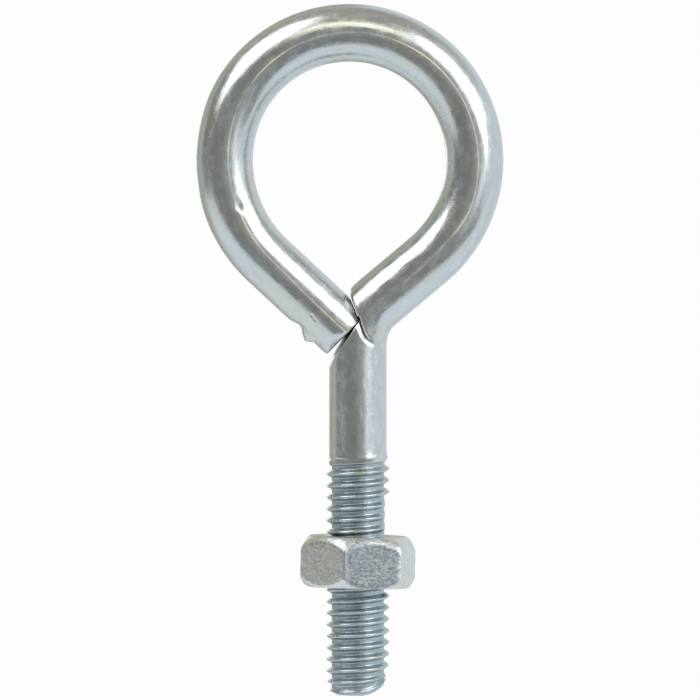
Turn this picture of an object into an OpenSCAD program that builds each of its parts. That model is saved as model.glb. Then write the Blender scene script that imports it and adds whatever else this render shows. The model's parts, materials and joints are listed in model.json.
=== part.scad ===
// Eye bolt: one bent steel rod with a rolled thread, and the hex nut on it.
// The shank's axis is Z, the tip of the thread is at the origin, and the eye lies in the XZ plane.

/* [Rod] */
// Diameter of the plain rod
rod_d = 7; // [6.9:0.05:7.1]
// Height at which the straight shank runs into the elbow
shank_top = 42.6; // [42:0.1:46]
// Slant of the sheared lower end, in degrees
end_slant = 8; // [0:1:10]

/* [Eye] */
// Bend radius of the elbow, at the middle of the rod
elbow_r = 6.6; // [6:0.1:7.2]
// Angle that the elbow turns through, away from the shank
elbow_turn = 50; // [48:1:52]
// Length of the straight right leg, from the elbow to the eye's curve
right_leg = 8; // [7:0.1:9]
// Bend radius of the eye's right side
right_r = 15.8; // [15.5:0.1:16.2]
// Angle of the eye's right side
right_turn = 80; // [78:1:82]
// Bend radius of the eye's top and upper left
top_r = 15.1; // [15:0.1:15.4]
// Angle of the eye's top and upper left
top_turn = 134; // [132:1:136]
// Bend radius of the eye's lower left
left_r = 16.5; // [16:0.1:17]
// Angle of the eye's lower left
left_turn = 63; // [61:1:65]
// Length of the straight left leg, down to its sheared end
left_leg = 13; // [12:0.1:13.5]

/* [Closing joint] */
// Width of the open seam where the end of the rod butts against the elbow
seam = 0.12; // [0.1:0.01:0.3]
// How far the point of the notch in the elbow lies from the left leg's axis
notch_offset = 2.43; // [2.2:0.01:2.6]
// Direction of the notch's upper face, in degrees above +X
notch_upper = 111.6; // [108:0.1:114]
// Direction of the notch's lower face, in degrees above +X
notch_lower = 237.4; // [234:0.1:240]

/* [Thread] */
// Threads to the inch (5/16-18 UNC)
threads_per_inch = 18; // [16:1:20]
// Outside diameter of the rolled thread
major_d = 7.7; // [7.69:0.01:7.9]
// Depth of the thread, from crest to root
thread_depth = 0.67; // [0.6:0.01:0.7]
// Width of the flat on each crest
crest_flat = 0.2; // [0.15:0.01:0.25]
// Height of the thread's upper end
thread_len = 28.5; // [27:0.1:29]
// Height of a thread crest on the +X side, which sets where the helix starts
thread_phase = 0.67; // [0:0.01:1.4]

/* [Nut] */
// Width of the nut across its flats
nut_flats = 12.7; // [12.5:0.1:13]
// Height of the nut
nut_h = 6.2; // [6:0.05:6.9]
// Height of the nut's lower face above the tip of the thread
nut_z = 13.05; // [10:0.05:15]
// Turn of the nut's corners from +X, in degrees
nut_angle = 16.4; // [0:0.1:60]
// Width of the chamfer at the nut's corners
nut_chamfer_w = 1.35; // [1.2:0.05:1.6]
// Height of the chamfer at the nut's corners
nut_chamfer_h = 1.5; // [1.4:0.05:1.8]
// Clearance between the flanks of the two threads, along the axis
flank_play = 0.06; // [0.05:0.01:0.08]
// Smallest radius of the nut's thread
nut_minor_r = 3.3; // [3.25:0.01:3.4]
// Height of the nut's bearing face, taken as its own slice
face_h = 0.4; // [0.3:0.05:0.45]

/* [Hidden] */
$fn = 96;
zinc = [0.75, 0.78, 0.8];
zinc_nut = [0.8, 0.8, 0.78];
rod_r = rod_d / 2;
reach = 12;          // half the size of a cutting block
hair = 0.01;         // step in radius between one stretch of the rod and the next
lap = 0.05;          // how far one stretch of the rod runs into the next
pitch = 25.4 / threads_per_inch;
crest_r = major_d / 2;
root_r = crest_r - thread_depth;
flank_run = tan(30);  // axial run of a 60 degree flank for each unit of depth
columns = 30;        // facets round one turn of a thread
runout = 1.2;        // length over which the rolled thread fades into the shank
point_len = 1.5;     // length over which the thread grows at its tip
end_margin = 0.15;   // least distance from a thread's first ridge to its flat end
nut_top = nut_z + nut_h;
nut_corner_r = nut_flats / sqrt(3);
bearing_r = nut_corner_r - nut_chamfer_w;
mouth_r = crest_r + 0.45;   // radius of the nut's countersinks at its faces
mouth_in = crest_r + 0.2;  // their radius where the nut's thread starts
face_gap = 0.01;           // parts the bearing face from the rest of the nut

// A run of rod is a list of stretches, each [length, radius, turn]: a straight has radius 0,
// and a bend turns left for a positive angle. A pose is [x, z, heading].
run = [
    [0, elbow_r, -elbow_turn],
    [right_leg, 0, 0],
    [0, right_r, right_turn],
    [0, top_r, top_turn],
    [0, left_r, left_turn],
    [left_leg, 0, 0]
];

function ahead(p, s) = s[1] == 0
    ? [p[0] + s[0] * cos(p[2]), p[1] + s[0] * sin(p[2]), p[2]]
    : let (r = s[1] * sign(s[2]), h = p[2] + s[2])
        [p[0] - r * sin(p[2]) + r * sin(h), p[1] + r * cos(p[2]) - r * cos(h), h];

function pose(i) = i == 0 ? [0, shank_top, 90] : ahead(pose(i - 1), run[i - 1]);

leg_end = pose(len(run));
notch = [
    leg_end[0] - notch_offset * sin(leg_end[2]),
    leg_end[1] + notch_offset * cos(leg_end[2])
];

module at_pose(p) {
    translate([p[0], 0, p[1]]) rotate([0, 90 - p[2], 0]) children();
}

// Stretch i of the run, less an amount off its far end. Every second one is a hair thinner and
// runs a little way into its neighbours, so that they are one solid.
module stretch(i, less = 0) {
    s = run[i];
    r = rod_r - hair * (i % 2);
    in = lap * (i % 2);
    at_pose(pose(i))
        if (s[1] == 0) translate([0, 0, -in]) cylinder(h = s[0] - less + 2 * in, r = r);
        else mirror([s[2] < 0 ? 1 : 0, 0, 0]) translate([-s[1], 0, 0]) rotate([90, 0, 0])
            rotate(-in / s[1] * 180 / PI)
                rotate_extrude(angle = abs(s[2]) + 2 * in / s[1] * 180 / PI)
                    translate([s[1], 0]) circle(r = r);
}

// A prism along Y, from an outline in the XZ plane
module prism(outline) {
    translate([0, reach / 2, 0]) rotate([90, 0, 0]) linear_extrude(reach) polygon(outline);
}

function ray(angle, length) = [notch[0] + length * cos(angle), notch[1] + length * sin(angle)];

// Space that the end of the rod needs in the elbow
module notch_space() {
    prism([notch, ray(notch_upper, reach), ray((notch_upper + notch_lower) / 2, reach),
        ray(notch_lower, reach)]);
}

// What lies across the seam from the end of the rod
module across_seam() {
    translate([-seam, 0, 0])
        prism([ray(notch_upper, reach), ray(notch_upper + 180, reach), ray(0, reach)]);
}

// The helical surface of a thread, closed by flat ends. Column i is one angle, and level k one
// point of the profile; a full turn of columns joins the same surface one pitch of levels higher.
profile_steps = 4;

function edge_width(crest_w, crest, r) = crest_w + 2 * (crest - r) * flank_run;

function profile(crest_w, crest, root) = let (foot_w = edge_width(crest_w, crest, root)) [
    [-foot_w / 2, root], [-crest_w / 2, crest], [crest_w / 2, crest], [foot_w / 2, root]
];

module threaded_rod(z0, z1, crest_w, crest, root, end_r, top_r, slant, fade0, fade1) {
    shape = profile(crest_w, crest, root);
    foot = shape[3][0];
    first = ceil((z0 + end_margin + foot - thread_phase) / pitch);
    ridges = floor((z1 - end_margin - foot - thread_phase) / pitch) - first;
    levels = profile_steps * ridges - 1;
    function angle(i) = 180 + 360 * i / columns;
    function height(i, k) = thread_phase + shape[k % profile_steps][0]
        + pitch * (first + floor(k / profile_steps) + angle(i) / 360 - 0.5);
    function grown(z) = min(1, (z - z0) / fade0);
    function kept(z) = min(1, (z1 - z) / fade1);
    function radius(k, z) = let (r = shape[k % profile_steps][1])
        top_r + kept(z) * (root + grown(z) * (r - root) - top_r);
    function at(r, a, z) = [r * cos(a), r * sin(a), z];
    surface_points = [
        for (i = [0 : columns - 1], k = [0 : levels])
            let (z = height(i, k)) at(radius(k, z), angle(i), z)
    ];
    low = [for (i = [0 : columns - 1])
        at(end_r, angle(i), z0 + slant * (end_r * cos(angle(i)) + end_r))];
    high = [for (i = [0 : columns - 1]) at(top_r, angle(i), z1)];
    function id(i, k) = i < columns ? i * (levels + 1) + k : k + profile_steps;
    function low_id(i) = columns * (levels + 1) + i % columns;
    function high_id(i) = columns * (levels + 2) + i % columns;
    last = columns - 1;
    sheet = [
        for (i = [0 : last], k = [0 : levels - (i == last ? profile_steps : 0) - 1])
            each [
                [id(i, k), id(i, k + 1), id(i + 1, k + 1)],
                [id(i, k), id(i + 1, k + 1), id(i + 1, k)]
            ]
    ];
    skirts = [
        for (i = [0 : last - 1])
            each [
                [low_id(i), id(i, 0), id(i + 1, 0)],
                [low_id(i), id(i + 1, 0), low_id(i + 1)],
                [id(i, levels), high_id(i), high_id(i + 1)],
                [id(i, levels), high_id(i + 1), id(i + 1, levels)]
            ]
    ];
    low_seam = [
        [id(last, 0), low_id(0), low_id(last)],
        for (k = [-1 : profile_steps - 1])
            [id(last, 0), id(0, k + 1), k < 0 ? low_id(0) : id(0, k)]
    ];
    high_seam = [
        [id(0, levels), high_id(last), high_id(0)],
        for (k = [-1 : profile_steps - 1])
            [id(0, levels), id(last, levels - k - 1),
                k < 0 ? high_id(last) : id(last, levels - k)]
    ];
    caps = [
        [for (i = [0 : last]) low_id(i)],
        [for (i = [last : -1 : 0]) high_id(i)]
    ];
    polyhedron(concat(surface_points, low, high), concat(sheet, skirts, low_seam, high_seam, caps));
}

module rod_thread() {
    threaded_rod(0, thread_len, crest_flat, crest_r, root_r, root_r - 0.1, rod_r - 0.02,
        tan(end_slant), point_len, runout);
}

module stem() {
    difference() {
        union() {
            translate([0, 0, thread_len])
                cylinder(h = shank_top - thread_len + lap, r = rod_r - hair);
            for (i = [0, 1]) stretch(i);
        }
        notch_space();
    }
}

module tip() {
    difference() {
        stretch(5, seam + lap);
        across_seam();
    }
}

module eye_bolt() {
    color(zinc) {
        rod_thread();
        stem();
        for (i = [2 : 4]) stretch(i);
        tip();
    }
}

module nut_blank() {
    intersection() {
        translate([0, 0, nut_z]) rotate(nut_angle) cylinder(h = nut_h, r = nut_corner_r, $fn = 6);
        rotate_extrude() polygon([
            [0, nut_z], [bearing_r, nut_z], [nut_corner_r + 0.1 * nut_chamfer_w,
                nut_z + 1.1 * nut_chamfer_h],
            [nut_corner_r + 0.1 * nut_chamfer_w, nut_top - 1.1 * nut_chamfer_h],
            [bearing_r, nut_top], [0, nut_top]
        ]);
    }
}

module countersink(z, way) {
    translate([0, 0, z]) mirror([0, 0, way > 0 ? 0 : 1]) translate([0, 0, -face_h])
        cylinder(h = face_h, r1 = mouth_in, r2 = mouth_r);
}

module face_slab(gap) {
    translate([-reach, -reach, nut_top - face_h - gap]) cube([2 * reach, 2 * reach, reach]);
}

module hex_nut() {
    color(zinc_nut) difference() {
        nut_blank();
        nut_thread_space();
        countersink(nut_z, -1);
        face_slab(face_gap);
    }
}

module nut_thread_space() {
    groove_r = crest_r + 0.12;
    threaded_rod(nut_z - 2 * pitch, nut_top + 2 * pitch,
        edge_width(crest_flat + 2 * flank_play, crest_r, groove_r), groove_r, nut_minor_r,
        nut_minor_r, nut_minor_r, 0, 0.01, 0.01);
}

module nut_bearing_face() {
    color(zinc_nut) difference() {
        intersection() {
            nut_blank();
            face_slab(0);
        }
        countersink(nut_top, 1);
    }
}

eye_bolt();
hex_nut();
nut_bearing_face();
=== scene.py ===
"""Looks of the eye bolt: a bent, zinc-plated rod with a rolled thread, and its hex nut.

The rod is one swept skin. Its rings follow the same run of straights and bends as the CAD part,
and one function for each feature gives the radius at every ring and angle.

Lengths are in millimetres until a mesh is made. Along the rod they count from the tip of the
thread. Angles go round it: 0 is the shank's right side (+X), which runs on into the outside of
the eye, 90 degrees is the back and 270 degrees is the front.
"""

import json
import math
from collections import namedtuple

import bpy
import numpy as np
from mathutils import Matrix, Vector, noise


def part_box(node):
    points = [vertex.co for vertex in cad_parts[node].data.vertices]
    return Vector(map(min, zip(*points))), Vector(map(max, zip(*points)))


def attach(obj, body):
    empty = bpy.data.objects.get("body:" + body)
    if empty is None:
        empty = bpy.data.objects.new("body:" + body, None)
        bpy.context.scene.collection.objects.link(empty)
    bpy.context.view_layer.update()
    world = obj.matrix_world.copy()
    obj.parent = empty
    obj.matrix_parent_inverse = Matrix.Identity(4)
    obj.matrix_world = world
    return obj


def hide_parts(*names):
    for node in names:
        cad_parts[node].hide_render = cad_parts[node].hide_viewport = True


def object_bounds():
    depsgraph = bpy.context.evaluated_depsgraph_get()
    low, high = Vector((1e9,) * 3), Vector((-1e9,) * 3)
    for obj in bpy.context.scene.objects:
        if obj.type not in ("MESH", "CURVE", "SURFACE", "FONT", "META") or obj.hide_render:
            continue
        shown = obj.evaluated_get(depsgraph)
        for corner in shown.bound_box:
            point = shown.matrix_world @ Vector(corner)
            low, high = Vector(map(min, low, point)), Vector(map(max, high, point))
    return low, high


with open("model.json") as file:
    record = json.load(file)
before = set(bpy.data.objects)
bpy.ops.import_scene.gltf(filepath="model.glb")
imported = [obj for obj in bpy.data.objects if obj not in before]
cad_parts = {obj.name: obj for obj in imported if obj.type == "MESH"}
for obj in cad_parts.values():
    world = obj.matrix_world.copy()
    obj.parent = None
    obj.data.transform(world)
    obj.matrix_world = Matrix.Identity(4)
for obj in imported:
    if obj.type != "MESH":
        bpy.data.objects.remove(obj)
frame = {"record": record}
cad_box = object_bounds()
mounts = {mount["name"]: mount for mount in frame["record"]["mounts"]}
# How the nut's travel follows its turn, in metres per radian
screw = frame["record"]["behaviour"]["couplings"][0]

MM = 0.001
TURN = 2 * math.pi
# A length that is longer than any on the rod's skin
FAR = 9.0

# The rod, and its run up from the shank's top: (length, bend radius, turn in degrees)
ROD_R = 3.5
SHANK_TOP = 42.6
RUN = [(0, 6.6, -50), (8, 0, 0), (0, 15.8, 80), (0, 15.1, 134), (0, 16.5, 63), (13.0, 0, 0)]
# How far the skin lies inside the CAD rod, so that its unevenness stays inside
SKIN_IN = 0.016

# The thread: the pitch that the nut travels by, and its form, a little inside the CAD thread
PITCH = screw["ratio"] * TURN / MM
THREAD_LEN = mounts["thread"]["dims"]["length_mm"]
CREST_R = mounts["thread"]["dims"]["r_mm"] - 0.05
ROOT_R = 3.2
CREST_FLAT = 0.2
THREAD_ROUND = 0.08
PHASE = 0.67
# The share of the crests' height left at the tip, the stretch over which they grow to their full
# height, and how much further along it lies on the right
TIP_CRESTS = 0.3
TIP_STRETCH = (-0.3, 2.0)
TIP_SLANT = 2.2
# Where the crests are worn off on the right, just above the nut: the soft stretches at both ends
# along the rod and the soft edge round it (radians), and the height that is left of them
WORN_FROM, WORN_TO = (18.6, 19.2), (23.4, 24.6)
WORN_ROUND = (0.3, 0.62)
WORN_LEFT = 0.08
# Where the last crest starts, and the stretch where the thread runs out, from the thread's end
LAST_CREST = -0.55
RUNOUT_FROM, RUNOUT_TO = -0.45, 0.35
RUNOUT_SLANT = 0.12
# The swelling of the shank above the thread, and how much higher it is on the right
SWELL = 0.06
SWELL_RIGHT = 0.05
SWELL_LEN = 0.4
# How much painted blue shade lies on the thread's crests, as a share of that in the grooves
CREST_SHADE_SHARE = 0.55

# The notch in the elbow that the end of the rod sits in: its point in the XZ plane, the
# directions of its two faces in degrees, and how much the lower one leans back
NOTCH = np.array([0.19, 45.71])
NOTCH_UPPER = 111.6
NOTCH_LOWER = 236.6
NOTCH_LEAN = 0.045
ELBOW_FROM, ELBOW_TO = 36, 54
# How rounded its mouth is, more so upwards, over a stretch of height
NOTCH_ROUND = 0.55
NOTCH_ROUND_UP = 0.45
NOTCH_ROUND_Z = (44, 45.5)
# The open seam between the notch's upper face and the rod's end, and the end's length
SEAM = 0.14
END_LEN = 8

# The crease that the bend left in the elbow, below the notch's point, in the XZ plane
CREASE = np.array([[0.08, 45.75], [0.35, 44.88], [0.71, 44.0], [1.12, 43.35], [2.15, 42.3]])
CREASE_DEPTH = 0.36

# The marks of the shear at the rod's end. An edge is rolled over: where round the rod, how far
# round (radians), how deep, and how far back at least and at most
ROLLED_AT = math.radians(303)
ROLLED_ROUND = 0.72
ROLLED_DEPTH = 0.7
ROLLED_LEN, ROLLED_MORE = 0.3, 1.1
# A burr stands on the outside: where round the rod, its height, its ends measured back from the
# rod's end with the slope at each, and how far round it reaches
BURR_AT = -0.1
BURR_H = 0.62
BURR_NEAR, BURR_NEAR_SLOPE = 2.1, 0.85
BURR_BACK, BURR_BACK_SLOPE = 4.45, 1.45
BURR_ROUND = 0.3
# A hollow lies behind the burr: how far back, its depth, length and reach round the rod
HOLLOW_AT = 4.8
HOLLOW_DEPTH = 0.36
HOLLOW_LEN = 0.9
HOLLOW_ROUND = 0.45

# The line that the drawing die left: lengths along the rod, how far the line lies to the outside
# of the bend there, its half width, and the length where it begins
LINE_AT = [52, 59, 64, 95, 125, 134, 140]
LINE_SIDE = [0.15, -0.1, 0.5, 0.1, -0.7, -0.4, -0.2]
LINE_W = 0.15
LINE_FROM = 51.0

# The nut: its ends, its width across flats, and the angle of one of its corners
NUT_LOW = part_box("hex_nut")[0].z / MM
NUT_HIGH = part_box("nut_bearing_face")[1].z / MM
NUT_FLATS = 12.7
NUT_ANGLE = 16.4
# Its bearing face, the slopes of its chamfers, its thread and its countersinks
BEARING_R = 5.95
LOW_CHAMFER = 1.3
HIGH_CHAMFER = 1.2
NUT_GROOVE_R = 3.97
NUT_MINOR_R = 3.3
NUT_MOUTH_R = 4.2
NUT_MOUTH_SLOPE = 1.4
# Its fine and broad dents, and how it hangs on its loose thread, in degrees sideways and back
DENT_FINE = 0.012
DENT_BROAD = 0.014
NUT_ASKEW = 1.2
NUT_BACK = 2.0


def smooth_min(a, b, k):
    """The lesser of a and b, rounded over a width k where they are close."""
    h = np.clip(0.5 + 0.5 * (b - a) / k, 0, 1)
    return b + (a - b) * h - k * h * (1 - h)


def smooth_max(a, b, k):
    return -smooth_min(-a, -b, k)


def smooth_step(x, low, high):
    t = np.clip((x - low) / (high - low), 0, 1)
    return t * t * (3 - 2 * t)


def bump(x, width):
    return np.exp(-((x / width) ** 2))


def wrapped(angle):
    """The same angle, from minus half a turn to half a turn."""
    return np.angle(np.exp(1j * angle))


def rough(points, scale, seed):
    """Smooth noise from -1 to 1 at each point, with features about as long as scale."""
    flat = points.reshape(-1, 3) / scale + seed
    values = [noise.noise(Vector(p)) for p in flat]
    return np.array(values).reshape(points.shape[:-1])


# ---------------------------------------------------------------- the rod's centreline


def stretches():
    """Each stretch of the rod as (start length, x, z, heading, length, signed bend radius)."""
    x, z, heading, start = 0.0, SHANK_TOP, math.pi / 2, SHANK_TOP
    found = [(0.0, 0.0, 0.0, heading, SHANK_TOP, 0.0)]
    for length, radius, turn in RUN:
        if radius:
            turn = math.radians(turn)
            signed = math.copysign(radius, turn)
            length = radius * abs(turn)
            found.append((start, x, z, heading, length, signed))
            x += signed * (math.sin(heading + turn) - math.sin(heading))
            z -= signed * (math.cos(heading + turn) - math.cos(heading))
            heading += turn
        else:
            found.append((start, x, z, heading, length, 0.0))
            x += length * math.cos(heading)
            z += length * math.sin(heading)
        start += length
    return found, start


STRETCHES, ROD_LEN = stretches()


def centreline(s):
    """Centre (x, z) and heading of the rod at each length s."""
    x, z, heading = np.zeros_like(s), np.zeros_like(s), np.zeros_like(s)
    for start, x0, z0, h0, length, signed in STRETCHES:
        on = (s >= start - 1e-9) & (s <= start + length + 1e-6)
        d = s[on] - start
        if signed:
            h = h0 + d / signed
            x[on] = x0 + signed * (np.sin(h) - math.sin(h0))
            z[on] = z0 - signed * (np.cos(h) - math.cos(h0))
            heading[on] = h
        else:
            x[on] = x0 + d * math.cos(h0)
            z[on] = z0 + d * math.sin(h0)
            heading[on] = h0
    return x, z, heading


# ---------------------------------------------------------------- the rod's radius

# A grid of points on the rod's skin: length along the rod and angle round it, the ring's centre
# (x, z), and the unit vector (ux, uy, uz) that points out from it
Grid = namedtuple("Grid", "s angle x z ux uy uz")


def skin_grid(s, columns):
    angle = np.arange(columns) * TURN / columns
    s2, a2 = np.meshgrid(s, angle, indexing="ij")
    x, z, h = (np.repeat(v[:, None], columns, axis=1) for v in centreline(s))
    return Grid(s2, a2, x, z, np.cos(a2) * np.sin(h), np.sin(a2), -np.cos(a2) * np.cos(h))


def thread_radius(z, angle, crest, root, crest_flat, round_off):
    """Radius of a 60 degree helical thread at height z and angle, in radians."""
    turns = (z - PHASE) / PITCH - angle / TURN
    off = np.abs(turns - np.round(turns)) * PITCH
    flank = crest - (off - crest_flat / 2) / math.tan(math.radians(30))
    return smooth_max(smooth_min(flank, crest, round_off), root, round_off)


def rolled_rod(g):
    """Radius of the rod and its rolled thread, and how much painted blue shade the thread has, 0 to
    1.
    """
    right = np.cos(g.angle)
    # the shank swells a little just above the thread, where rolling pushed the metal up
    past = g.s - THREAD_LEN
    shank = ROD_R + (SWELL + SWELL_RIGHT * right) * bump(past - SWELL_LEN, SWELL_LEN)
    # the crests are low at the tip, and the last one is no higher than the shank
    thread = thread_radius(g.s, g.angle, CREST_R, ROOT_R, CREST_FLAT, THREAD_ROUND)
    grown = smooth_step(g.s - TIP_SLANT * np.maximum(right, 0), *TIP_STRETCH)
    thread = ROOT_R + (thread - ROOT_R) * (TIP_CRESTS + (1 - TIP_CRESTS) * grown)
    thread = np.where(past > LAST_CREST, smooth_min(thread, ROD_R + 0.02, 0.05), thread)
    # the thread runs out into the shank
    out = smooth_step(past + RUNOUT_SLANT * right, RUNOUT_FROM, RUNOUT_TO)
    threaded = past < 1
    r = np.where(threaded, thread + (shank - thread) * out, shank)
    # the crests that are worn off
    worn = smooth_step(g.s, *WORN_FROM) * (1 - smooth_step(g.s, *WORN_TO))
    worn = worn * (1 - smooth_step(np.abs(wrapped(g.angle)), *WORN_ROUND))
    r = r + (np.minimum(r, ROOT_R + WORN_LEFT) - r) * worn
    # painted shade: the thread is tinted darker and bluer, most of all in the grooves
    deep = smooth_step(CREST_R - 0.05 - r, 0, 0.3)
    painted_blue_shade = CREST_SHADE_SHARE + (1 - CREST_SHADE_SHARE) * deep
    return r, np.where(threaded, painted_blue_shade * (1 - out), 0)


def ray_to_notch(g, near):
    """How far each ray from a ring's centre runs before it enters the notch, or FAR."""
    reach = np.full_like(g.s, FAR)
    faces = []
    for direction in (NOTCH_UPPER + 90, NOTCH_LOWER - 90):
        m = math.radians(direction)
        offset = (g.x[near] - NOTCH[0]) * math.cos(m) + (g.z[near] - NOTCH[1]) * math.sin(m)
        faces.append([offset, g.ux[near] * math.cos(m) + g.uz[near] * math.sin(m)])
    # the lower face leans, so that at the back it closes on the rod's end
    faces[1][0] = faces[1][0] - NOTCH_LEAN * ROD_R
    faces[1][1] = faces[1][1] - NOTCH_LEAN * g.uy[near]

    def inside(t):
        (a0, a1), (b0, b1) = faces
        return smooth_min(a0 + a1 * t, b0 + b1 * t, 0.15)

    low = np.zeros_like(g.s[near])
    high = np.full_like(low, FAR)
    free = inside(high) <= 0
    for _ in range(26):
        middle = (low + high) / 2
        enters = inside(middle) > 0
        high = np.where(enters, middle, high)
        low = np.where(enters, low, middle)
    reach[near] = np.where(free, FAR, high)
    return reach


def cut_notch(g, r):
    """Radius with the notch cut into the elbow, and how much painted shade lies in it, 0 to 1."""
    near = (g.s > ELBOW_FROM) & (g.s < ELBOW_TO)
    rounding = NOTCH_ROUND + NOTCH_ROUND_UP * smooth_step(g.z, *NOTCH_ROUND_Z)
    notched = smooth_min(r, ray_to_notch(g, near) + 0.1, rounding)
    across, up = g.x + notched * g.ux - NOTCH[0], g.z + notched * g.uz - NOTCH[1]
    close = 1 - smooth_step(np.hypot(across, up), 1.2, 3.2)
    return notched, close * smooth_step(r - notched, 0.5, 1.1) * near * below_notch(g)


def below_notch(g):
    """1 up to the notch's point, 0 from 1 mm above it."""
    return 1 - smooth_step(g.z, NOTCH[1] + 0.09, NOTCH[1] + 1.09)


def to_crease(x, z):
    """Distance from the crease, how far along it (0 to 1), and which side (-1 is the shank's)."""
    best = np.full_like(x, 1e9)
    along = np.zeros_like(x)
    side = np.zeros_like(x)
    parts = len(CREASE) - 1
    for i in range(parts):
        a, b = CREASE[i], CREASE[i + 1]
        d = b - a
        t = np.clip(((x - a[0]) * d[0] + (z - a[1]) * d[1]) / (d @ d), 0, 1)
        dx, dz = x - a[0] - t * d[0], z - a[1] - t * d[1]
        far = np.hypot(dx, dz)
        nearer = far < best
        best = np.where(nearer, far, best)
        along = np.where(nearer, (i + t) / parts, along)
        side = np.where(nearer, np.sign(d[0] * dz - d[1] * dx), side)
    return best, along, side


def press_crease(g, r):
    """Radius with the crease pressed into the elbow, and how much painted shade lies in it, 0 to 1.
    """
    near = (g.s > ELBOW_FROM) & (g.s < ELBOW_TO)
    far, along, side = to_crease(g.x + r * g.ux, g.z + r * g.uz)
    # it is deep at the front, and faint at the back
    front = smooth_step(-g.uy, 0.2, 0.6) + 0.4 * smooth_step(g.uy, 0.3, 0.8)
    fade = front * (1 - smooth_step(along, 0.6, 1.0)) * near
    # on the shank's side it starts wider, and narrows downwards
    width = np.where(side < 0, 0.7 - 0.35 * along, 0.4)
    hollow = np.clip(1 - far / width, 0, 1)
    depth = np.where(side < 0, CREASE_DEPTH * hollow, CREASE_DEPTH * hollow**1.3)
    return r - fade * depth, fade * (1 - smooth_step(far, 0.04, 0.24))


def trim_end(g, r):
    """Radius with the rod's end trimmed along the seam, and how much painted shade lies in the seam,
    0 to 1.
    """
    end = ROD_LEN - g.s < END_LEN
    m = math.radians(NOTCH_UPPER - 90)
    gap = SEAM + (g.x - NOTCH[0]) * math.cos(m) + (g.z - NOTCH[1]) * math.sin(m)
    facing = g.ux * math.cos(m) + g.uz * math.sin(m)
    reach = np.where(facing > 1e-3, -gap / np.maximum(facing, 1e-3), FAR)
    trimmed = np.where(end, smooth_min(r, np.clip(reach, 0, FAR), 0.12), r)
    return trimmed, smooth_step(r - trimmed, 0.25, 0.7) * end * below_notch(g)


def shear_end(g, r):
    """Radius with the marks of the shear: a rolled edge, a burr and the hollow behind it."""
    back = ROD_LEN - g.s
    rolled = bump(wrapped(g.angle - ROLLED_AT), ROLLED_ROUND)
    over = np.clip(1 - back / (ROLLED_LEN + ROLLED_MORE * rolled), 0, 1)
    edge = ROLLED_DEPTH * rolled * (1 - np.sqrt(1 - np.minimum(over, 0.999) ** 2))
    outside = wrapped(g.angle - BURR_AT)
    behind, before = (BURR_BACK - back) / BURR_BACK_SLOPE, (back - BURR_NEAR) / BURR_NEAR_SLOPE
    burr = BURR_H * np.clip(np.minimum(behind, before), 0, 1) * bump(outside, BURR_ROUND)
    hollow = HOLLOW_DEPTH * bump(back - HOLLOW_AT, HOLLOW_LEN) * bump(outside, HOLLOW_ROUND)
    return r - edge + burr - hollow


# Small marks in the plating: (length along the rod, angle, size along, size round, depth)
NICKS = [
    (124.3, 256, 0.6, 0.4, 0.16),
    (125.1, 259, 0.45, 0.35, -0.05),
    (76.9, 256, 0.4, 0.6, 0.07),
    (75.9, 262, 0.6, 0.3, 0.05),
    (134.2, 300, 0.9, 0.12, 0.06),
    (136.0, 318, 0.5, 0.14, 0.07),
    (38.0, 286, 0.5, 0.15, 0.05),
    (34.6, 280, 0.7, 0.12, 0.05),
    (31.8, 276, 0.4, 0.2, 0.05),
    (54.0, 250, 0.9, 0.2, 0.03),
    (59.0, 262, 1.2, 0.15, 0.03),
    (98.0, 90, 0.8, 0.3, 0.06),
    (70.0, 80, 0.4, 0.5, 0.05),
    (36.0, 100, 1.0, 0.2, 0.05),
    (ROD_LEN - 4.5, 289, 0.3, 0.12, 0.05),
    (ROD_LEN - 3.9, 292, 0.4, 0.1, 0.06),
    (ROD_LEN - 3.2, 297, 0.4, 0.1, 0.06),
    (ROD_LEN - 2.7, 302, 0.3, 0.12, 0.05),
    (ROD_LEN - 3.6, 334, 0.25, 0.25, 0.08),
]


def rod_radius(g):
    """Radius of the rod's skin, and how much painted shade and painted blue shade it has, over a grid
    of points.
    """
    r, painted_blue_shade = rolled_rod(g)
    painted_shade = np.zeros_like(g.s)
    for feature in (cut_notch, press_crease, trim_end):
        r, dark = feature(g, r)
        painted_shade = np.maximum(painted_shade, dark)
    r = shear_end(g, r)
    for at, degrees, length, width, depth in NICKS:
        turn = wrapped(g.angle - math.radians(degrees))
        r -= depth * bump(g.s - at, length) * bump(turn * ROD_R, width)
    return r - SKIN_IN, painted_shade, painted_blue_shade


# ---------------------------------------------------------------- meshes


def link_mesh(name, vertices, faces, skin, shade_and_line):
    """A smooth piece from vertices in millimetres, with its texture coordinates, painted shade and
    drawn line.

    Its other values hold how much painted shade and painted blue shade each vertex has, and how far
    it lies from the drawn line.
    """
    mesh = bpy.data.meshes.new(name)
    mesh.from_pydata((vertices * MM).tolist(), [], faces)
    for attribute, values in (("skin", skin), ("shade_and_line", shade_and_line)):
        made = mesh.attributes.new(attribute, "FLOAT_VECTOR", "POINT")
        made.data.foreach_set("vector", values.astype(np.float32).ravel())
    mesh.shade_smooth()
    mesh.update()
    piece = bpy.data.objects.new(name, mesh)
    bpy.context.collection.objects.link(piece)
    return piece


def band_faces(low, high):
    """Faces between two rings of vertex numbers, of which one may have twice as many as the other."""
    faces = []
    n, m = len(low), len(high)
    for i in range(n):
        j = (i + 1) % n
        if m == n:
            faces.append((low[i], low[j], high[j], high[i]))
        elif m == 2 * n:
            a, b, c = high[2 * i], high[2 * i + 1], high[(2 * i + 2) % m]
            faces += [(low[i], b, a), (low[i], low[j], b), (low[j], c, b)]
        elif i % 2 == 0:
            a, c = high[i // 2], high[(i // 2 + 1) % m]
            faces += [(low[i], low[j], a), (low[j], c, a), (low[j], low[(i + 2) % n], c)]
    return faces


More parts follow.
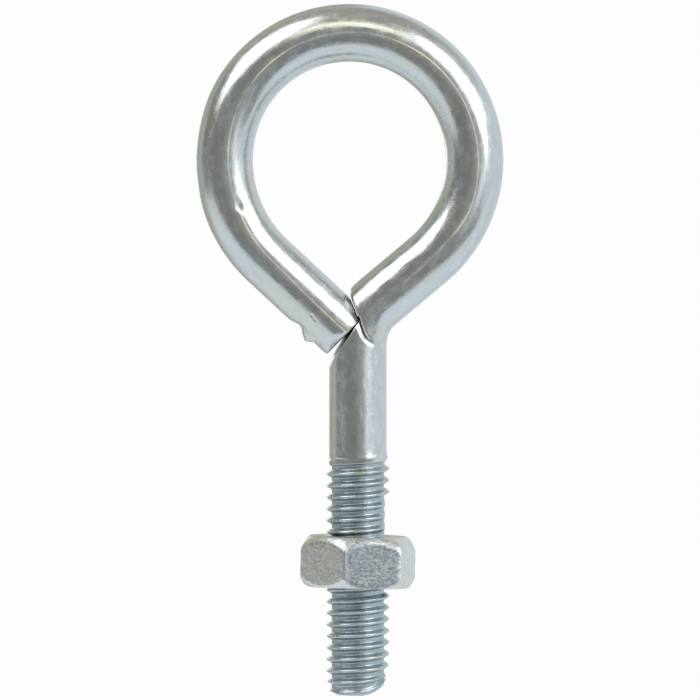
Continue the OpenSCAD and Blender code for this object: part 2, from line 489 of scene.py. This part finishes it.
def sheared_height(x):
    """Height of the thread's sheared tip: flat, rounded up at the right, a little at the left."""
    right = 1.35 * (np.clip(x - 0.6, 0, 3) / 2.9) ** 1.7
    return 0.1 + right + 0.28 * smooth_step(-x, 2.2, 3.5)


def skin_rings(s, columns):
    """Points, texture coordinates, painted shade and distance to the drawn line of the rod's rings at
    lengths s.
    """
    g = skin_grid(s, columns)
    radius, painted_shade, painted_blue_shade = rod_radius(g)
    # the distance to the drawn line, with everything but the front of the rod far off
    line = ROD_R * np.cos(g.angle) - np.interp(g.s, LINE_AT, LINE_SIDE)
    line += FAR * np.sign(np.cos(g.angle)) * (g.uy > -0.5)
    shade_and_line = np.stack([painted_shade, painted_blue_shade, line], axis=-1)
    skin = np.stack([ROD_R * np.cos(g.angle), ROD_R * g.uy, g.s], axis=-1)
    # broad and fine unevenness, drawn out along the rod
    radius += 0.012 * rough(skin * np.array([1, 1, 0.35]), 2.6, 3.1)
    radius += 0.005 * rough(skin * np.array([1, 1, 0.6]), 0.7, 7.7)
    points = np.stack([g.x + radius * g.ux, radius * g.uy, g.z + radius * g.uz], axis=-1)
    # the sheared tip slants, so the lowest rings lean with it
    points[..., 2] += (1 - smooth_step(g.s, 0, 2.4)) * sheared_height(points[..., 0])
    return points, skin, shade_and_line


# How far out each ring of a sheared end lies, as a share of its edge's radius
CAP_SHARES = (0.985, 0.95, 0.88, 0.78, 0.66, 0.52, 0.38, 0.24, 0.1)


def cap_rings(ring, marks, along):
    """Rings that shrink towards the middle of a sheared end, which is a little torn.

    Close to the notch the end is painted with shade, because it all but touches the elbow there.
    """
    middle = ring.mean(0)
    rings = []
    for share in CAP_SHARES:
        row = middle + (ring - middle) * share
        lift = 0.05 * rough(row, 0.9, 11.0) + 0.05
        row = row + lift[:, None] * np.array(along)
        shade_and_line = np.zeros_like(row)
        shade_and_line[:, 0] = 1 - smooth_step(np.hypot(row[:, 0] - NOTCH[0], row[:, 2] - NOTCH[1]), 1.5, 4)
        rings.append((row, marks * np.array([share, share, 1]), shade_and_line))
    return rings


# Sections of the rod from its tip: (end length, ring spacing, columns)
SECTIONS = [
    (THREAD_LEN + 0.9, 0.08, 96),
    (38.6, 0.4, 96),
    (51.0, 0.1, 192),
    (ROD_LEN - 6.5, 0.38, 96),
    (ROD_LEN, 0.1, 192),
]


def make_rod():
    rows = []
    start = 0.0
    for end, step, columns in SECTIONS:
        count = max(1, round((end - start) / step))
        s = start + (end - start) * np.arange(0 if start == 0 else 1, count + 1) / count
        rows += list(zip(*skin_rings(s, columns)))
        start = end
    way = centreline(np.array([ROD_LEN]))[2][0]
    tip = cap_rings(rows[0][0], rows[0][1], (0, 0, -1))
    end = cap_rings(rows[-1][0], rows[-1][1], (math.cos(way), 0, math.sin(way)))
    rows = tip[::-1] + rows + end

    # one vertex closes each end
    vertices, skin, shade_and_line = (
        [rows[0][i].mean(0)[None], *(row[i] for row in rows), rows[-1][i].mean(0)[None]]
        for i in range(3)
    )
    starts = np.cumsum([0] + [len(v) for v in vertices])
    rings = [range(starts[i], starts[i + 1]) for i in range(1, len(vertices) - 1)]
    faces = [(0, b, a) for a, b in zip(rings[0], np.roll(rings[0], -1).tolist())]
    for low, high in zip(rings, rings[1:]):
        faces += band_faces(low, high)
    last = int(starts[-2])
    faces += [(last, a, b) for a, b in zip(rings[-1], np.roll(rings[-1], -1).tolist())]
    vertices, skin, shade_and_line = (np.concatenate(v) for v in (vertices, skin, shade_and_line))
    return link_mesh("eye_bolt_rod", vertices, faces, skin, shade_and_line)


# Columns of the nut's mesh; the chamfered stretch at each end of its height; and the radii of the
# rings on its flat faces, which lie between the countersink and the chamfer
NUT_COLUMNS = 384
NUT_CORNER_H = 1.9
NUT_FACE_RINGS = (5.6, 5.2, 4.8, 4.45)


def spaced(*spans):
    """Heights from 0 up, from (end, step) spans that follow one another."""
    marks, start = [0.0], 0.0
    for end, step in spans:
        count = max(1, round((end - start) / step))
        marks += list(start + (end - start) * np.arange(1, count + 1) / count)
        start = end
    return np.array(marks)


def nut_outline(angle):
    """Distance from the axis to the nut's six flats, with slightly rounded corners."""
    flat = NUT_FLATS / 2
    facet = np.full_like(angle, 1e9)
    for k in range(6):
        lean = np.cos(angle - math.radians(NUT_ANGLE + 30 + 60 * k))
        facet = smooth_min(facet, flat / np.maximum(lean, 0.05), 0.2)
    return facet


def nut_side(flats, z):
    """Radius of the nut's outside at height z: its flats, with the chamfers at both ends."""
    low = BEARING_R + 0.25 + (z - NUT_LOW) * LOW_CHAMFER
    high = BEARING_R + (NUT_HIGH - z) * HIGH_CHAMFER
    # the edges are softer at the corners and at the upper end
    soft = 0.3 + 0.35 * smooth_step(z, NUT_HIGH - 2.2, NUT_HIGH - 1.6)
    return smooth_min(flats, min(low, high), soft + 0.3 * smooth_step(flats, 6.5, 7.2))


def nut_bore(angle, z):
    """Radius of the nut's thread at height z, with the countersinks at both ends."""
    thread = thread_radius(z, angle, NUT_GROOVE_R, NUT_MINOR_R, CREST_FLAT, 0.05)
    mouth = NUT_MOUTH_R - NUT_MOUTH_SLOPE * min(z - NUT_LOW, NUT_HIGH - z)
    return np.maximum(thread, mouth)


def tilted(points):
    """The nut as it hangs on its loose thread, a little askew."""
    lean = Matrix.Rotation(math.radians(NUT_ASKEW), 3, "Y")
    lean = lean @ Matrix.Rotation(math.radians(-NUT_BACK), 3, "X")
    heart = np.array([0, 0, (NUT_LOW + NUT_HIGH) / 2])
    return (points - heart) @ np.array(lean).T + heart


def make_nut():
    """The nut as one closed band of rings: up its outside, over the top and down its thread."""
    angle = np.arange(NUT_COLUMNS) * TURN / NUT_COLUMNS
    flats = nut_outline(angle)
    height = NUT_HIGH - NUT_LOW
    corner = NUT_CORNER_H
    outer = spaced((corner, 0.1), (height - corner, 0.2), (height, 0.1)) + NUT_LOW
    inner = spaced((height, 0.07))[::-1] + NUT_LOW
    rows = [(nut_side(flats, z), z) for z in outer]
    rows += [(np.full(NUT_COLUMNS, r), NUT_HIGH) for r in (*NUT_FACE_RINGS, NUT_MOUTH_R)]
    rows += [(nut_bore(angle, z), z) for z in inner]
    rows += [(np.full(NUT_COLUMNS, r), NUT_LOW) for r in reversed(NUT_FACE_RINGS)]
    radius = np.array([r for r, _ in rows])
    z = np.array([np.full(NUT_COLUMNS, z) for _, z in rows])
    a = np.broadcast_to(angle, radius.shape)
    points = np.stack([radius * np.cos(a), radius * np.sin(a), z], axis=-1)

    # dents in the outside, none of which stands out of the plain nut
    dents = DENT_FINE * rough(points, 0.42, 2.0) + DENT_BROAD * rough(points, 1.3, 5.0)
    dents = (dents - DENT_FINE - DENT_BROAD) * smooth_step(radius, 5.0, 5.8)
    points[..., :2] *= (1 + dents / radius)[..., None]
    index = np.arange(radius.size).reshape(radius.shape)
    faces = []
    for low, high in zip(index, np.roll(index, -1, axis=0)):
        faces += band_faces(low.tolist(), high.tolist())

    # painted reflection: the flat face at the front right is tinted darker and bluer, and there is no
    # drawn line
    face_at = math.radians(NUT_ANGLE + 30 + 240)
    on_face = 1 - smooth_step(np.abs(a - face_at), 0.44, 0.52)
    on_flat = 1 - smooth_step(flats - radius, 0.08, 0.3)
    shade_and_line = np.stack([np.zeros_like(z), on_face * on_flat, np.full_like(z, FAR)], axis=-1)
    points = points.reshape(-1, 3)
    return link_mesh("nut_body", tilted(points), faces, points, shade_and_line.reshape(-1, 3))


# ---------------------------------------------------------------- materials

# The plating on the two pieces: its tint, the tint where it is stained, the tint of its painted blue
# shade, its roughness, how drawn out its lines are, how fine its mottling, how deep its spots
ROD_PLATE = {
    "tint": (0.68, 0.725, 0.75),
    "stain": (0.68, 0.70, 0.67),
    "shade_blue_tint": (0.37, 0.45, 0.49),
    "roughness": 0.23,
    "streaks": 0.12,
    "mottle": 1.3,
    "spot_depth": 0.00001,
}
NUT_PLATE = {
    "tint": (0.76, 0.78, 0.77),
    "stain": (0.78, 0.78, 0.71),
    "shade_blue_tint": (0.25, 0.29, 0.32),
    "roughness": 0.24,
    "streaks": 1.0,
    "mottle": 1.8,
    "spot_depth": 0.00006,
}
LINE_TINT = (0.88, 0.88, 0.66)
# The colour of the painted shade in the notch, the crease and the seam, and on the rod's end near the
# elbow
PAINTED_SHADE_TINT = (0.02, 0.02, 0.018)
# How much of its tint the plating keeps where it is dull
DULL = 0.84


def node(tree, kind, **inputs):
    made = tree.nodes.new(kind)
    for key, value in inputs.items():
        made.inputs[key.replace("_", " ")].default_value = value
    return made


def attribute(tree, name):
    made = tree.nodes.new("ShaderNodeAttribute")
    made.attribute_name = name
    return made.outputs["Vector"]


def split(tree, vector):
    """The X, Y and Z of a vector."""
    made = tree.nodes.new("ShaderNodeSeparateXYZ")
    tree.links.new(vector, made.inputs["Vector"])
    return made.outputs


def texture(tree, where, stretch, **inputs):
    """A noise texture over the skin coordinates, stretched along the rod."""
    mapping = tree.nodes.new("ShaderNodeMapping")
    mapping.inputs["Scale"].default_value = (1, 1, stretch)
    tree.links.new(where, mapping.inputs["Vector"])
    made = node(tree, "ShaderNodeTexNoise", **inputs)
    tree.links.new(mapping.outputs["Vector"], made.inputs["Vector"])
    return made.outputs["Fac"]


def ramp(tree, value, low, high, colour_low, colour_high):
    made = tree.nodes.new("ShaderNodeValToRGB")
    ends = ((low, colour_low), (high, colour_high))
    for element, (at, colour) in zip(made.color_ramp.elements, ends):
        element.position = at
        element.color = (*colour, 1)
    tree.links.new(value, made.inputs["Fac"])
    return made.outputs["Color"]


def blend(tree, amount, a, b):
    """Colour a where amount is 0 and colour b where it is 1; b is a socket or a colour."""
    mix = tree.nodes.new("ShaderNodeMix")
    mix.data_type = "RGBA"
    factor, first, second = mix.inputs[0], mix.inputs[6], mix.inputs[7]
    tree.links.new(amount, factor)
    tree.links.new(a, first)
    if isinstance(b, tuple):
        second.default_value = (*b, 1)
    else:
        tree.links.new(b, second)
    return mix.outputs[2]


def remap(tree, value, low, high, to_low, to_high):
    ends = {"From_Min": low, "From_Max": high, "To_Min": to_low, "To_Max": to_high}
    made = node(tree, "ShaderNodeMapRange", **ends)
    tree.links.new(value, made.inputs["Value"])
    return made.outputs["Result"]


def product(tree, a, b):
    made = tree.nodes.new("ShaderNodeMath")
    made.operation = "MULTIPLY"
    tree.links.new(a, made.inputs[0])
    tree.links.new(b, made.inputs[1])
    return made.outputs[0]


def plus_share(tree, base, value, share):
    """base + share x value."""
    made = tree.nodes.new("ShaderNodeMath")
    made.operation = "MULTIPLY_ADD"
    made.inputs[1].default_value = share
    tree.links.new(value, made.inputs[0])
    tree.links.new(base, made.inputs[2])
    return made.outputs[0]


def bumped(tree, height, distance, under=None):
    """A normal with the bumps of a texture, distance metres high, over the normal under it."""
    made = node(tree, "ShaderNodeBump", Strength=0.9, Distance=distance)
    tree.links.new(height, made.inputs["Height"])
    if under:
        tree.links.new(under, made.inputs["Normal"])
    return made.outputs["Normal"]


def drawn_line(tree, where, away, patches):
    """How much of the drawn line there is: fine, broken by the patches, along the ring only."""
    side = remap(tree, away, -LINE_W, 0, 0, 1)
    other = remap(tree, away, 0, LINE_W, 1, 0)
    ring = remap(tree, split(tree, where)["Z"], LINE_FROM, LINE_FROM + 4, 0, 1)
    broken = remap(tree, patches, 0.4, 0.6, 0.3, 1)
    return product(tree, product(tree, side, other), product(tree, ring, broken))


def zinc(name, tint, stain, shade_blue_tint, roughness, streaks, mottle, spot_depth):
    """Bright zinc plate: metal with fine draw lines along the rod, haze and a mottled tint."""
    material = bpy.data.materials.new(name)
    material.use_nodes = True
    tree = material.node_tree
    shader = tree.nodes["Principled BSDF"]
    shader.inputs["Metallic"].default_value = 1.0
    where = attribute(tree, "skin")
    shade_and_line = split(tree, attribute(tree, "shade_and_line"))
    painted_shade, painted_blue_shade, away = shade_and_line["X"], shade_and_line["Y"], shade_and_line["Z"]

    lines = texture(tree, where, streaks, Scale=2.6, Detail=5.0, Roughness=0.55)
    cloud = texture(tree, where, 0.5, Scale=mottle, Detail=6.0, Roughness=0.65)
    patches = texture(tree, where, 0.35, Scale=0.35, Detail=3.0, Roughness=0.6)
    flecks = texture(tree, where, 1.6, Scale=1.15 * mottle, Detail=4.0, Roughness=0.7)
    line = drawn_line(tree, where, away, patches)

    plain = ramp(tree, cloud, 0.3, 0.7, tuple(DULL * c for c in tint), tint)
    stained = ramp(tree, cloud, 0.3, 0.7, tuple(DULL * c for c in stain), stain)
    colour = blend(tree, remap(tree, patches, 0.42, 0.62, 0, 1), plain, stained)
    # painted blue shade: darker and bluer on the thread and on the nut's front right face, broken by
    # flecks
    flecked = product(tree, painted_blue_shade, remap(tree, flecks, 0.4, 0.62, 1.0, 0.5))
    colour = blend(tree, flecked, colour, shade_blue_tint)
    colour = blend(tree, line, colour, LINE_TINT)
    # painted shade in the notch, the crease and the seam
    colour = blend(tree, painted_shade, colour, PAINTED_SHADE_TINT)
    tree.links.new(colour, shader.inputs["Base Color"])

    haze = remap(tree, cloud, 0.3, 0.7, roughness * 0.65, roughness * 1.45)
    haze = plus_share(tree, haze, painted_blue_shade, 0.09)
    haze = plus_share(tree, haze, line, 0.45)
    tree.links.new(haze, shader.inputs["Roughness"])

    normal = bumped(tree, lines, 0.00002)
    normal = bumped(tree, flecks, spot_depth, normal)
    tree.links.new(normal, shader.inputs["Normal"])
    return material


# ---------------------------------------------------------------- stage, lights and camera

# The camera: how far off and how high it stands, how far the middle of its view lies from the
# middle of the object's box, and how wide the view is as a multiple of the box's height
VIEW_DISTANCE = 0.9
VIEW_LIFT = math.radians(3)
VIEW_SHIFT = Vector((0.000076, 0, -0.000041))
VIEW_SCALE = 1.01358
SENSOR_WIDTH = 36

# The heart of the studio, low in the eye, and the floor, clear of the nut where it has come off
HEART = Vector((0, 0, 0.055))
FLOOR_Z = -0.045
COOL = (0.90, 0.96, 1.0)
WHITE = (1.0, 1.0, 1.0)
WARM = (1.0, 0.98, 0.86)
YELLOW = (1.0, 0.97, 0.75)
ROOM = (0.255, 0.26, 0.25)
PAPER_WHITE = (0.98, 0.98, 0.98)

# Softboxes: corners as (degrees off the camera's side, degrees round from +X to +Z), radiance,
# colour and distance from the heart in metres
SOFTBOXES = {
    "softbox_left": ([(41, 119), (85, 103), (93, 136), (70, 160)], 2.6, WHITE, 0.6),
    "softbox_right": ([(42, 11), (29, 72), (66, 52), (84, 14)], 2.6, WHITE, 0.6),
    "softbox_strip": ([(32, 68), (50, 68), (48, 112), (34, 112)], 1.7, YELLOW, 0.6),
    "softbox_rear": ([(143, 190), (143, 163), (166, 150), (166, 200)], 1.0, WHITE, 0.25),
}

# Reflector cards, in the same terms
CARDS = {
    "card_lens": ([(9, -45), (9, 45), (9, 135), (9, 225)], 0.36, WARM, 0.5),
    "card_front": ([(11, -45), (58, -28), (31, 52), (13, 85)], 0.44, WHITE, 0.9),
    "card_slim": ([(29, -26), (29, -2), (43, -1), (43, -18)], 1.25, COOL, 0.7),
    "card_right": ([(37, -8), (46, 26), (112, 30), (112, -35)], 0.85, COOL, 0.8),
    "card_right_high": ([(46, 26), (46, 52), (112, 52), (112, 30)], 0.6, WHITE, 0.8),
    "card_above": ([(50, 120), (50, 60), (110, 52), (110, 128)], 0.45, WARM, 0.85),
    "card_above_rear": ([(110, 135), (110, 45), (150, 30), (150, 150)], 0.62, WARM, 0.85),
    "card_left": ([(100, 165), (100, 190), (136, 200), (136, 160)], 0.62, WARM, 0.8),
}

# The lit table under the object: corners (x, y), radiance and colour
TABLE = {
    "table": ([(-0.45, -0.235), (0.9, 0.06), (0.9, 0.09), (-0.45, 0.06)], 0.93, COOL),
    "table_rear": ([(-0.9, 0.06), (0.9, 0.09), (0.9, 0.12), (-0.9, 0.12)], 0.8, COOL),
}
# The paper behind it, which bends up into a wall: left, right, radiance and colour
PAPER = {"paper_left": (-0.9, 0.02, 0.5, WARM), "paper_right": (0.02, 0.9, 0.85, COOL)}
PAPER_FRONT, PAPER_BACK = 0.12, 0.3
PAPER_RISE, PAPER_TOP = 0.05, 0.5


def towards(polar, around):
    """Unit vector at an angle off the camera's side and an angle round from +X to +Z."""
    p, a = math.radians(polar), math.radians(around)
    return Vector((math.sin(p) * math.cos(a), -math.cos(p), math.sin(p) * math.sin(a)))


def plain_mesh(name, vertices, faces, material):
    """A part of the studio, not of the object."""
    mesh = bpy.data.meshes.new(name)
    mesh.from_pydata(vertices, [], faces)
    mesh.materials.append(material)
    made = bpy.data.objects.new(name, mesh)
    bpy.context.collection.objects.link(made)
    return made


def glowing(name, colour, strength):
    """An evenly lit surface."""
    material = bpy.data.materials.new(name)
    material.use_nodes = True
    tree = material.node_tree
    tree.nodes.clear()
    glow = node(tree, "ShaderNodeEmission", Color=(*colour, 1), Strength=strength)
    out = tree.nodes.new("ShaderNodeOutputMaterial")
    tree.links.new(glow.outputs["Emission"], out.inputs["Surface"])
    return material


def add_backdrop():
    """The pale floor, which curves up all round into a pale surround; only the camera sees it."""
    reach, bend, top, spokes, steps = 2.4, 0.6, 3.0, 48, 12
    profile = []
    for i in range(steps + 1):
        a = math.pi / 2 * i / steps
        profile.append((reach - bend + bend * math.sin(a), FLOOR_Z + bend - bend * math.cos(a)))
    profile.append((reach, top))
    vertices = []
    for r, z in profile:
        for k in range(spokes):
            a = TURN * k / spokes
            vertices.append((r * math.cos(a), r * math.sin(a), z))
    faces = []
    for low in range(0, spokes * (steps + 1), spokes):
        for k in range(spokes):
            n = (k + 1) % spokes
            faces.append((low + k, low + n, low + spokes + n, low + spokes + k))
    floor = range(spokes)
    ceiling = range(spokes * (steps + 1), spokes * (steps + 2))
    faces += [tuple(reversed(floor)), tuple(ceiling)]
    bowl = plain_mesh("surround", vertices, faces, glowing("paper", PAPER_WHITE, 1))
    bowl.visible_glossy = False
    bowl.visible_diffuse = False
    bowl.visible_shadow = False


def add_cards():
    """What the metal reflects: the lit table below, the paper behind, and reflector cards."""
    z = FLOOR_Z + 0.001
    shapes = []
    for name, (corners, strength, colour) in TABLE.items():
        shapes.append((name, [(x, y, z) for x, y in corners], strength, colour))
    for name, (left, right, strength, colour) in PAPER.items():
        foot = [(left, PAPER_FRONT, z), (right, PAPER_FRONT, z)]
        bend = [(right, PAPER_BACK, z + PAPER_RISE), (left, PAPER_BACK, z + PAPER_RISE)]
        top = [(right, PAPER_BACK, PAPER_TOP), (left, PAPER_BACK, PAPER_TOP)]
        shapes.append((name, foot + bend, strength, colour))
        shapes.append((name + "_wall", bend[::-1] + top, strength, colour))
    for name, (corners, strength, colour, distance) in CARDS.items():
        points = [HEART + towards(*c) * distance for c in corners]
        shapes.append((name, points, strength, colour))
    for name, points, strength, colour in shapes:
        card = plain_mesh(name, points, [(0, 1, 2, 3)], glowing(name, colour, strength))
        card.visible_camera = False


def add_softbox(name, corners, radiance, colour, distance):
    """A rectangular softbox that covers the given corners as the object sees them."""
    a, b, c, d = (HEART + towards(*corner) * distance for corner in corners)
    middle = (a + b + c + d) / 4
    across, up = (b + c - a - d) / 2, (c + d - a - b) / 2
    normal = across.cross(up).normalized()
    if normal.dot(middle - HEART) < 0:
        normal.negate()
    side = across.normalized()
    rise = normal.cross(side)
    data = bpy.data.lights.new(name, "AREA")
    data.shape = "RECTANGLE"
    data.size, data.size_y = across.length, abs(up.dot(rise))
    data.energy = radiance * math.pi * data.size * data.size_y
    data.color = colour
    light = bpy.data.objects.new(name, data)
    light.location = middle
    light.rotation_euler = Matrix((side, rise, normal)).transposed().to_euler()
    light.visible_camera = False
    bpy.context.collection.objects.link(light)


def add_world():
    world = bpy.data.worlds.new("studio")
    world.use_nodes = True
    back = world.node_tree.nodes["Background"]
    back.inputs["Color"].default_value = (*ROOM, 1)
    back.inputs["Strength"].default_value = 1.0
    bpy.context.scene.world = world


def add_camera():
    low, high = cad_box
    width = (high.z - low.z) * VIEW_SCALE
    data = bpy.data.cameras.new("camera")
    data.sensor_width = SENSOR_WIDTH
    data.lens = SENSOR_WIDTH * VIEW_DISTANCE / width
    camera = bpy.data.objects.new("camera", data)
    way = Vector((0, -math.cos(VIEW_LIFT), math.sin(VIEW_LIFT)))
    camera.location = (low + high) / 2 + VIEW_SHIFT + way * VIEW_DISTANCE
    camera.rotation_euler = way.to_track_quat("Z", "Y").to_euler()
    bpy.context.collection.objects.link(camera)
    bpy.context.scene.camera = camera


# ---------------------------------------------------------------- the scene

add_camera()
add_world()
add_backdrop()
add_cards()
for name, (corners, radiance, colour, distance) in SOFTBOXES.items():
    add_softbox(name, corners, radiance, colour, distance)
bpy.context.scene.view_settings.view_transform = "Standard"

rod = make_rod()
rod.data.materials.append(zinc("zinc_rod", **ROD_PLATE))
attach(rod, "bolt")
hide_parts("eye_bolt")

nut = make_nut()
nut.data.materials.append(zinc("zinc_nut", **NUT_PLATE))
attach(nut, "nut")
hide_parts("hex_nut", "nut_bearing_face")
